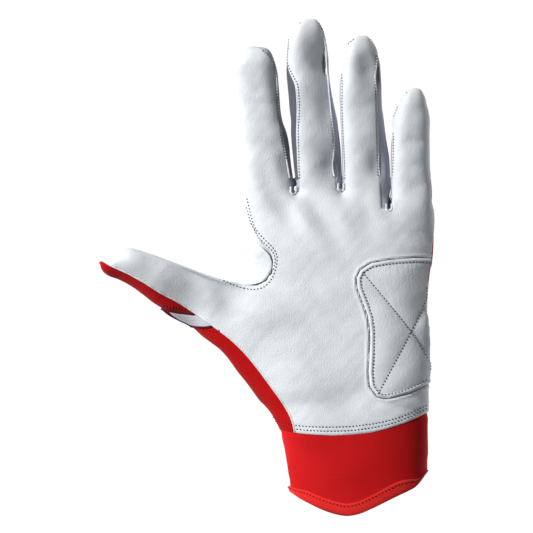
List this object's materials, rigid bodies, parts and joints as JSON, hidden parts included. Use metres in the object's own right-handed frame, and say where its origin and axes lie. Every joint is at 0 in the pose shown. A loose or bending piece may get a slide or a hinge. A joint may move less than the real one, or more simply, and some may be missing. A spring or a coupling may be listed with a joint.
{
  "type": "batting glove",
  "caption": "Left-hand batting glove with a stitched leather palm, padded heel, red back and thumb, bending finger and thumb stalls and a bound wrist cuff with a peel-back strap.",
  "frame": {"origin": "middle of the box's base, on the plane that the back of the hand rests on", "axes": "+Y along the fingers, -X to the thumb, +Z out of the palm"},
  "size_m": [0.1536, 0.2284, 0.0421],
  "materials": {
    "leather": "thin white sheepskin, fine grain, satin",
    "fourchette_fabric": "grey-white stretch knit",
    "back_fabric": "smooth red stretch fabric",
    "knuckle_fabric": "ribbed red stretch fabric",
    "cuff_neoprene": "red neoprene with a fine knit face",
    "binding_tape": "folded red knit tape",
    "piping": "dark red piping",
    "foam": "soft open-cell pad",
    "strap_neoprene": "red neoprene strap",
    "hook_tape": "hook tape",
    "loop_tape": "brushed loop tape",
    "tab_rubber": "moulded white pull tab"
  },
  "bodies": {
    "hand": {"index_middle_web": "fourchette_fabric", "middle_ring_web": "fourchette_fabric", "ring_little_web": "fourchette_fabric", "crotch_gusset": "leather", "palm_leather": "leather", "radial_side_panel": "back_fabric", "knuckle_flex_panel": "knuckle_fabric", "back_panel": "back_fabric", "heel_pad_foam": "foam", "heel_pad_cover": "leather", "cuff": "cuff_neoprene", "cuff_binding": "binding_tape", "cuff_loop_patch": "loop_tape", "strap_anchor": "strap_neoprene"},
    "index_stall": {"index_front": "leather", "index_back": "back_fabric", "index_fourchette_right": "fourchette_fabric"},
    "middle_stall": {"middle_front": "leather", "middle_back": "back_fabric", "middle_fourchette_left": "fourchette_fabric", "middle_fourchette_right": "fourchette_fabric"},
    "ring_stall": {"ring_front": "leather", "ring_back": "back_fabric", "ring_fourchette_left": "fourchette_fabric", "ring_fourchette_right": "fourchette_fabric"},
    "little_stall": {"little_front": "leather", "little_back": "back_fabric", "little_fourchette_left": "fourchette_fabric"},
    "thumb_stall": {"thumb_front": "leather", "thumb_flex_insert": "leather", "thumb_flex_binding": "piping", "thumb_back": "back_fabric"},
    "strap": {"closure_strap": "strap_neoprene", "strap_hook_patch": "hook_tape", "strap_pull_tab": "tab_rubber"}
  },
  "joints": [
    {"name": "index_flex", "type": "hinge", "parent": "hand", "child": "index_stall", "pos_m": [0.00023, 0.03928, 0.0217], "axis": [0.9949, 0.1009, 0], "range_deg": [0, 75]},
    {"name": "middle_flex", "type": "hinge", "parent": "hand", "child": "middle_stall", "pos_m": [0.02368, 0.04066, 0.0217], "axis": [0.998, 0.0635, 0], "range_deg": [0, 75]},
    {"name": "ring_flex", "type": "hinge", "parent": "hand", "child": "ring_stall", "pos_m": [0.04461, 0.04066, 0.0217], "axis": [0.9998, 0.0199, 0], "range_deg": [0, 75]},
    {"name": "little_flex", "type": "hinge", "parent": "hand", "child": "little_stall", "pos_m": [0.06623, 0.031, 0.0217], "axis": [0.9998, -0.018, 0], "range_deg": [0, 75]},
    {"name": "thumb_flex", "type": "hinge", "parent": "hand", "child": "thumb_stall", "pos_m": [-0.01828, -0.02511, 0.0321], "axis": [0.4955, 0.8686, 0], "range_deg": [0, 45]},
    {"name": "strap_peel", "type": "hinge", "parent": "hand", "child": "strap", "pos_m": [0.02739, -0.08708, 0.0009], "axis": [0, 1, 0], "range_deg": [0, 120]}
  ]
}
